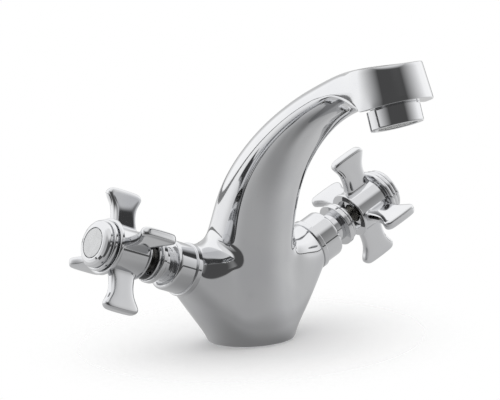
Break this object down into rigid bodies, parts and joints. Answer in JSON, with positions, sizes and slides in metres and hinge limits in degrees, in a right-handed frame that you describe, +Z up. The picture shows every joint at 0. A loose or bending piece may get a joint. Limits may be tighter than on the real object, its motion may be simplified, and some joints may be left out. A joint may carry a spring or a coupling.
{
  "type": "basin mixer tap",
  "caption": "Chromed basin mixer: round foot, swan spout with angled aerator, and a tilted valve with a cross handle on each side.",
  "frame": {"origin": "centre of the foot's underside, where it sits on the basin", "axes": "+Z up, -Y along the spout to the user, -X to the hot valve and +X to the cold valve"},
  "size_m": [0.1878, 0.1686, 0.1501],
  "materials": {
    "polished_chrome": "bright electroplated chrome on polished brass",
    "satin_nickel": "fine satin plate",
    "brass": "machined, unplated",
    "spring_steel": "bright stainless",
    "black_rubber": "moulded, matt",
    "white_ceramic": "lapped alumina",
    "white_acetal": "moulded"
  },
  "bodies": {
    "tap_body": {"body_casting": "polished_chrome", "base_seal": "black_rubber", "aerator_washer": "black_rubber", "aerator_housing": "polished_chrome", "aerator_insert": "white_acetal", "aerator_screen": "white_acetal", "hot_bonnet": "polished_chrome", "hot_collar": "polished_chrome", "hot_valve_body": "brass", "hot_body_seal": "black_rubber", "hot_seat_seal": "black_rubber", "hot_fixed_disc": "white_ceramic", "hot_thrust_washer": "white_acetal", "cold_bonnet": "polished_chrome", "cold_collar": "polished_chrome", "cold_valve_body": "brass", "cold_body_seal": "black_rubber", "cold_seat_seal": "black_rubber", "cold_fixed_disc": "white_ceramic", "cold_thrust_washer": "white_acetal"},
    "hot_turning": {"hot_moving_disc": "white_ceramic", "hot_spindle": "brass", "hot_spindle_seals": "black_rubber", "hot_circlip": "spring_steel", "hot_handle": "polished_chrome", "hot_handle_screw": "spring_steel", "hot_index_cap": "polished_chrome", "hot_index_disc": "satin_nickel"},
    "cold_turning": {"cold_moving_disc": "white_ceramic", "cold_spindle": "brass", "cold_spindle_seals": "black_rubber", "cold_circlip": "spring_steel", "cold_handle": "polished_chrome", "cold_handle_screw": "spring_steel", "cold_index_cap": "polished_chrome", "cold_index_disc": "satin_nickel"}
  },
  "joints": [
    {"name": "hot_turn", "type": "hinge", "parent": "tap_body", "child": "hot_turning", "pos_m": [-0.07375, 0, 0.056], "axis": [-0.9219, 0, 0.3875], "range_deg": [0, 90]},
    {"name": "cold_turn", "type": "hinge", "parent": "tap_body", "child": "cold_turning", "pos_m": [0.07375, 0, 0.056], "axis": [0.9219, 0, 0.3875], "range_deg": [0, 90]}
  ]
}
